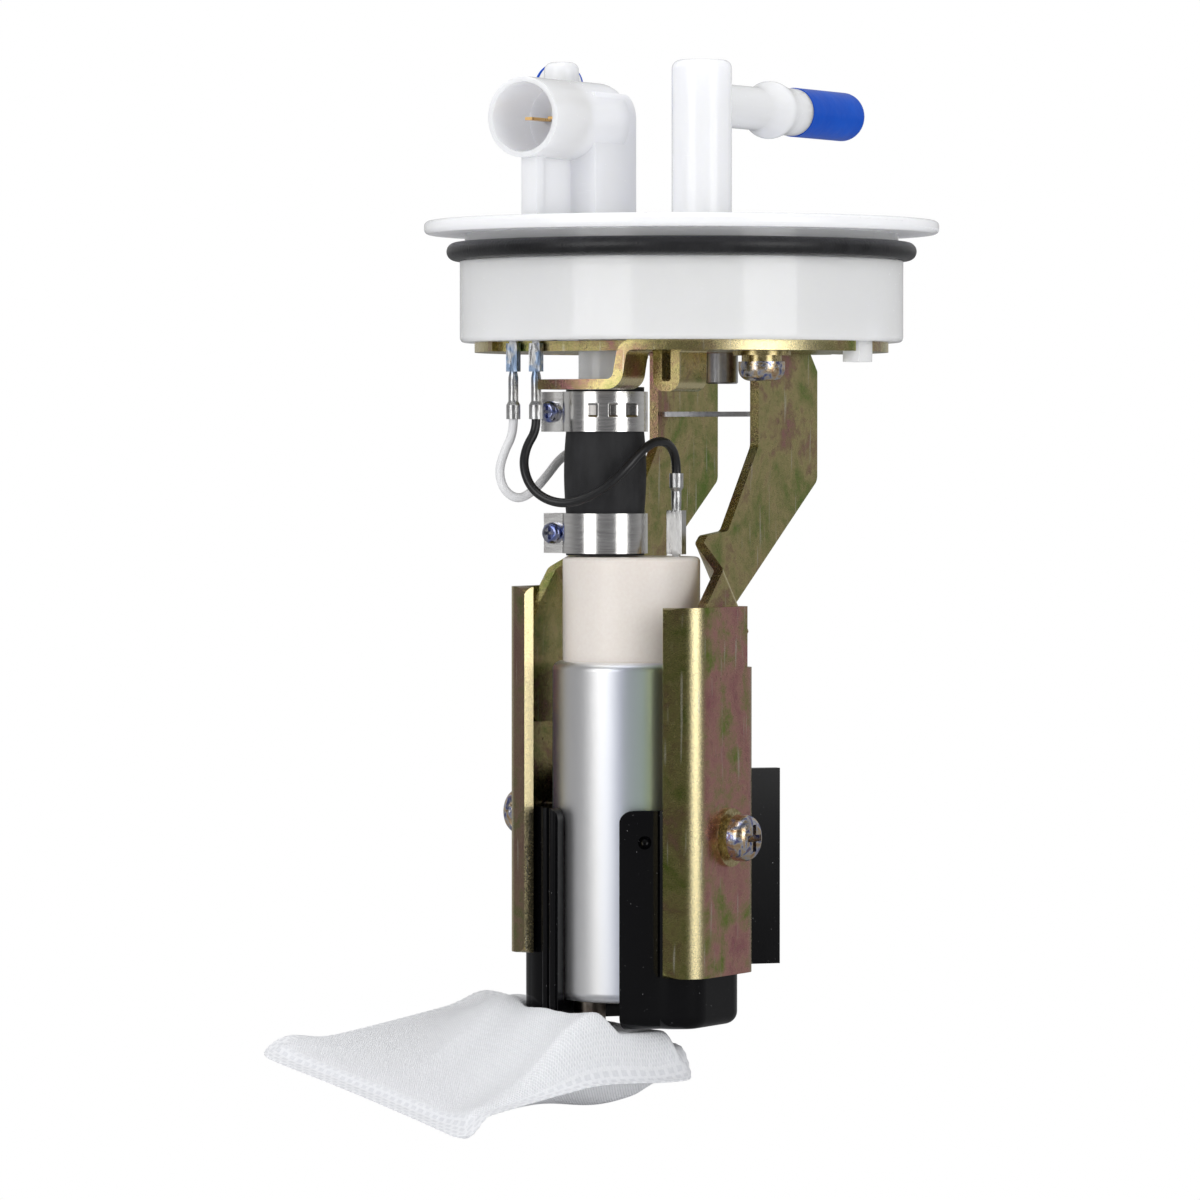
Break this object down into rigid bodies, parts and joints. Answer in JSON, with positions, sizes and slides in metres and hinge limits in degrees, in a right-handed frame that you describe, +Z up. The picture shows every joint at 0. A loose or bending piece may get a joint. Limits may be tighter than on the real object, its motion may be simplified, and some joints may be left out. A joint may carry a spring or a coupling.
{
  "type": "fuel pump module",
  "caption": "In-tank fuel pump module: white cover with connector and capped nozzles, hanger bracket, electric pump in a cradle, hose, leads and strainer sock.",
  "frame": {"origin": "centre of the underside of the cover disc, the face that seats on the tank", "axes": "+Z up along the spigot axis towards the nozzles, -Y towards the connector and the pump side, +X to the right seen from the front"},
  "size_m": [0.1427, 0.1609, 0.2576],
  "materials": {
    "white_plastic": "glossy moulded white, slightly translucent",
    "blue_vinyl": "soft glossy blue vinyl",
    "black_rubber": "matte black rubber",
    "yellow_zinc": "iridescent yellow zinc plating",
    "bright_steel": "bright stainless",
    "screw_steel": "yellow zinc, glossy",
    "can_steel": "satin zinc, faintly blue",
    "beige_plastic": "satin beige moulding",
    "black_plastic": "glossy black moulding",
    "copper": "enamelled copper",
    "contact_brass": "plated brass",
    "iron": "dark laminated iron",
    "carbon": "pressed carbon",
    "ferrite": "dark ferrite",
    "bearing_bronze": "sintered bronze",
    "pump_plastic": "dark filled resin",
    "filter_cloth": "white woven nylon",
    "white_lead": "white insulation",
    "black_lead": "black insulation"
  },
  "bodies": {
    "module": {"arm_tie": "bright_steel", "black_lead": "black_lead", "brush_springs": "bright_steel", "carbon_brushes": "carbon", "casing_plate": "pump_plastic", "check_spring": "bright_steel", "clamp_screws": "bright_steel", "contact_pins": "contact_brass", "cover_seal": "black_rubber", "flange_cover": "white_plastic", "fuel_hose": "black_rubber", "hanger_bracket": "yellow_zinc", "inlet_casing": "pump_plastic", "inlet_pipe": "bearing_bronze", "left_rail": "yellow_zinc", "lower_bearing": "bearing_bronze", "lower_clamp": "bright_steel", "lower_crimps": "bright_steel", "magnet_clips": "bright_steel", "magnets": "ferrite", "plate_screws": "screw_steel", "plate_washers": "screw_steel", "pump_can": "can_steel", "pump_cradle": "black_plastic", "pump_end_cap": "beige_plastic", "pump_terminals": "bright_steel", "rail_screws": "screw_steel", "rail_washers": "screw_steel", "relief_spring": "bright_steel", "right_rail": "yellow_zinc", "sleeve_nut": "bright_steel", "strainer_collar": "white_plastic", "strainer_sock": "filter_cloth", "upper_bearing": "bearing_bronze", "upper_clamp": "bright_steel", "upper_crimps": "bright_steel", "white_lead": "white_lead"},
    "rotor": {"rotor_shaft": "bright_steel", "armature_core": "iron", "armature_windings": "copper", "commutator": "copper", "impeller": "pump_plastic"},
    "outlet_cap_body": {"outlet_cap": "blue_vinyl"},
    "return_cap_body": {"return_cap": "blue_vinyl"},
    "check_ball_body": {"check_ball": "bright_steel"},
    "relief_ball_body": {"relief_ball": "bright_steel"}
  },
  "joints": [
    {"name": "rotor_spin", "type": "hinge", "parent": "module", "child": "rotor", "pos_m": [0, -0.024, -0.14], "axis": [0, 0, 1], "continuous": true},
    {"name": "outlet_cap_pull", "type": "slide", "parent": "module", "child": "outlet_cap_body", "axis": [0, 1, 0], "range_m": [0, 0.04]},
    {"name": "return_cap_pull", "type": "slide", "parent": "module", "child": "return_cap_body", "axis": [-0.5446, 0.8387, 0], "range_m": [0, 0.04]},
    {"name": "check_valve_lift", "type": "slide", "parent": "module", "child": "check_ball_body", "axis": [0, 0, 1], "range_m": [0, 0.0015], "stiffness_N_per_m": 150, "springref_m": -0.003, "deforming": ["check_spring"]},
    {"name": "relief_valve_lift", "type": "slide", "parent": "module", "child": "relief_ball_body", "axis": [0, 0, 1], "range_m": [0, 0.0015], "stiffness_N_per_m": 300, "springref_m": -0.004, "deforming": ["relief_spring"]}
  ]
}
